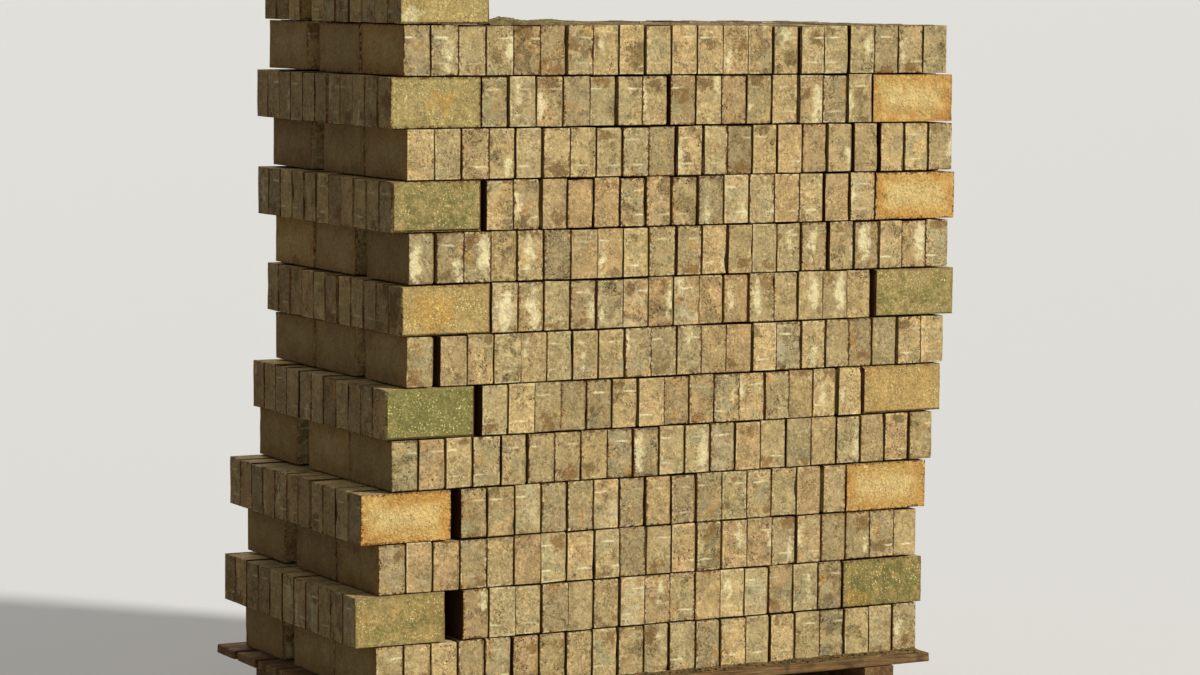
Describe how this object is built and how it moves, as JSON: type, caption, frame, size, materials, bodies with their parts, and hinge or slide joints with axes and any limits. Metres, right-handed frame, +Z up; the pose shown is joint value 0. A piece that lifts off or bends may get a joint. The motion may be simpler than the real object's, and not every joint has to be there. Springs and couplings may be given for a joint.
{
  "type": "pallet of concrete paving blocks",
  "caption": "Weathered pallet load of rectangular concrete paving blocks laid on edge in crossed courses, with part of one more course on top, on a timber pallet.",
  "frame": {"origin": "middle of the pallet's footprint, on the floor", "axes": "+X along the front to the right, +Y into the depth away from the front, +Z up"},
  "size_m": [1.4046, 0.756, 1.5734],
  "materials": {
    "concrete_block": "rough weathered concrete",
    "pallet_timber": "rough sawn, weathered"
  },
  "bodies": {
    "root": {"course_01": "concrete_block", "course_02": "concrete_block", "course_03": "concrete_block", "course_04": "concrete_block", "course_05": "concrete_block", "course_06": "concrete_block", "course_07": "concrete_block", "course_08": "concrete_block", "course_09": "concrete_block", "course_10": "concrete_block", "course_11": "concrete_block", "course_12": "concrete_block", "course_13": "concrete_block", "course_14_part": "concrete_block", "course_01_core": "concrete_block", "course_02_core": "concrete_block", "course_03_core": "concrete_block", "course_04_core": "concrete_block", "course_05_core": "concrete_block", "course_06_core": "concrete_block", "course_07_core": "concrete_block", "course_08_core": "concrete_block", "course_09_core": "concrete_block", "course_10_core": "concrete_block", "course_11_core": "concrete_block", "course_12_core": "concrete_block", "deck_board_1": "pallet_timber", "deck_board_2": "pallet_timber", "deck_board_3": "pallet_timber", "deck_board_4": "pallet_timber", "deck_board_5": "pallet_timber", "deck_board_6": "pallet_timber", "deck_board_7": "pallet_timber", "bearer_1": "pallet_timber", "bearer_2": "pallet_timber", "bearer_3": "pallet_timber", "base_board_1": "pallet_timber", "base_board_2": "pallet_timber", "base_board_3": "pallet_timber"}
  },
  "joints": []
}
